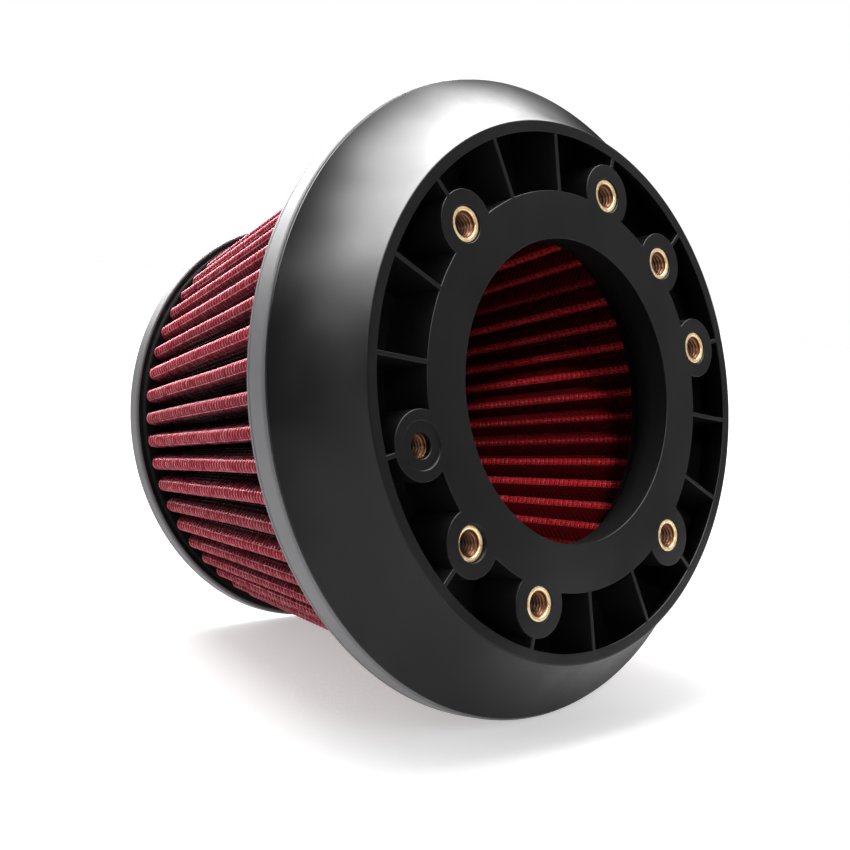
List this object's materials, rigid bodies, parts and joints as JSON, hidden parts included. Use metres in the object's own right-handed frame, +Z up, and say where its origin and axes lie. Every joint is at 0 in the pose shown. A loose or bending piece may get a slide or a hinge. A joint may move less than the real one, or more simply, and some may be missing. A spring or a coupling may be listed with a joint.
{
  "type": "open-pod air filter",
  "caption": "Conical pleated air filter with a flared bolt-on flange bell, threaded brass inserts and a closed end cap.",
  "frame": {"origin": "centre of the intake bore on the flat flange face", "axes": "+Y along the filter axis from the flange into the filter, +Z up, +X to the right when looking along +Y"},
  "size_m": [0.162, 0.1112, 0.162],
  "materials": {
    "moulding": "satin",
    "trim": "satin",
    "brass": "bright turned",
    "red_wire": "oiled wire gauze, red over grey wire",
    "gauze": "oiled cotton",
    "seal": "matt",
    "clip": "satin"
  },
  "bodies": {
    "root": {"bell": "moulding", "bell_band": "trim", "insert_1": "brass", "insert_2": "brass", "insert_3": "brass", "insert_4": "brass", "insert_5": "brass", "insert_6": "brass", "insert_7": "brass", "insert_8": "brass", "screen_outer": "red_wire", "gauze_ply_1": "gauze", "gauze_ply_2": "gauze", "screen_inner": "red_wire", "seam_clip": "clip", "ring_front": "seal", "ring_back": "seal", "end_cap": "moulding", "cap_band": "trim"}
  },
  "joints": []
}
